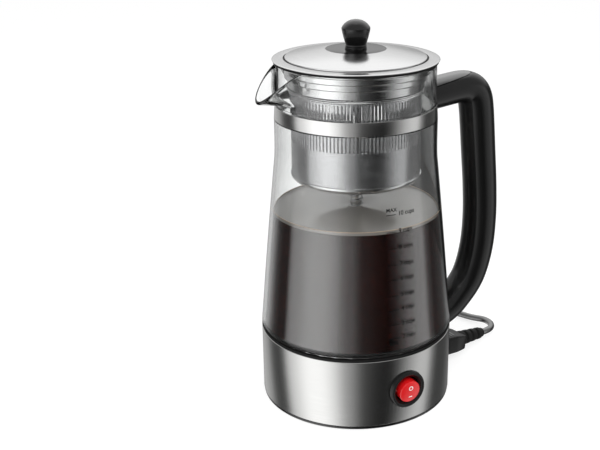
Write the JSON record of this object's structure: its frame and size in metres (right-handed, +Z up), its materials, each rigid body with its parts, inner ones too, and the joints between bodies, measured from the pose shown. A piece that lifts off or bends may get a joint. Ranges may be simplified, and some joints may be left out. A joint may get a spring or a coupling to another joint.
{
  "type": "electric percolator",
  "caption": "Electric percolator: tapered glass carafe on a steel heating base, with a pump stem, perforated basket, knobbed lid, black loop handle, rocker switch and mains lead.",
  "frame": {"origin": "centre of the base's underside, on the surface that the percolator stands on", "axes": "+Z up along the carafe's axis, +X out to the handle, -X out to the pouring spout, -Y out to the switch and the cup scale"},
  "size_m": [0.2384, 0.2663, 0.2969],
  "materials": {
    "brushed_steel": "horizontally brushed stainless steel",
    "polished_steel": "polished stainless steel",
    "satin_steel": "satin stainless steel",
    "perforated_steel": "finely perforated thin stainless steel",
    "clear_glass": "clear heat-proof glass",
    "black_plastic": "satin black moulded plastic",
    "black_rubber": "black rubber and cord sheath",
    "red_plastic": "glossy red translucent plastic",
    "cast_aluminium": "cast",
    "brass": "plain brass",
    "white_ceramic": null,
    "red_insulation": "insulated copper wire"
  },
  "bodies": {
    "kettle": {"base_cover": "black_plastic", "base_shell": "brushed_steel", "centre_bolt": "satin_steel", "collar_band": "brushed_steel", "collar_screw": "satin_steel", "connector": "black_plastic", "cord_coil": "black_rubber", "cord_tie": "black_rubber", "glass_carafe": "clear_glass", "handle_cap": "black_plastic", "handle_screw": "satin_steel", "handle_shell": "black_plastic", "heat_plate": "cast_aluminium", "heating_element": "satin_steel", "heating_pan": "polished_steel", "inlet_pin_earth": "brass", "inlet_pin_live": "brass", "inlet_pin_neutral": "brass", "inlet_socket": "black_plastic", "lower_seal": "black_rubber", "mains_plug": "black_plastic", "plug_blade_live": "brass", "plug_blade_neutral": "brass", "plug_earth_pin": "brass", "plug_relief": "black_rubber", "power_cord": "black_rubber", "rocker_pin": "satin_steel", "rubber_foot_1": "black_rubber", "rubber_foot_2": "black_rubber", "rubber_foot_3": "black_rubber", "rubber_foot_4": "black_rubber", "strain_relief": "black_rubber", "switch_housing": "black_plastic", "switch_terminal_line": "brass", "switch_terminal_load": "brass", "thermal_fuse": "white_ceramic", "thermostat": "brass", "upper_seal": "black_rubber", "wire_earth": "red_insulation", "wire_live": "red_insulation", "wire_load": "red_insulation", "wire_neutral": "red_insulation"},
    "pump": {"pump_tube": "polished_steel", "pump_foot": "polished_steel", "valve_washer": "satin_steel", "pump_spring": "satin_steel"},
    "basket_unit": {"basket": "perforated_steel"},
    "basket_lid": {"basket_cover": "satin_steel"},
    "lid": {"lid_plate": "satin_steel", "lid_skirt": "polished_steel", "lid_gasket": "black_rubber", "knob_ring": "polished_steel", "knob": "black_plastic", "knob_screw": "satin_steel"},
    "rocker_button": {"rocker": "red_plastic"}
  },
  "joints": [
    {"name": "pump_lift", "type": "slide", "parent": "kettle", "child": "pump", "axis": [0, 0, 1], "range_m": [0, 0.225]},
    {"name": "basket_lift", "type": "slide", "parent": "pump", "child": "basket_unit", "axis": [0, 0, 1], "range_m": [0, 0.09]},
    {"name": "basket_cover_lift", "type": "slide", "parent": "basket_unit", "child": "basket_lid", "axis": [0, 0, 1], "range_m": [0, 0.05]},
    {"name": "lid_lift", "type": "slide", "parent": "basket_lid", "child": "lid", "axis": [0, 0, 1], "range_m": [0, 0.06]},
    {"name": "rocker_tilt", "type": "hinge", "parent": "kettle", "child": "rocker_button", "pos_m": [0, -0.073, 0.0296], "axis": [1, 0, 0], "range_deg": [-12, 0]}
  ]
}
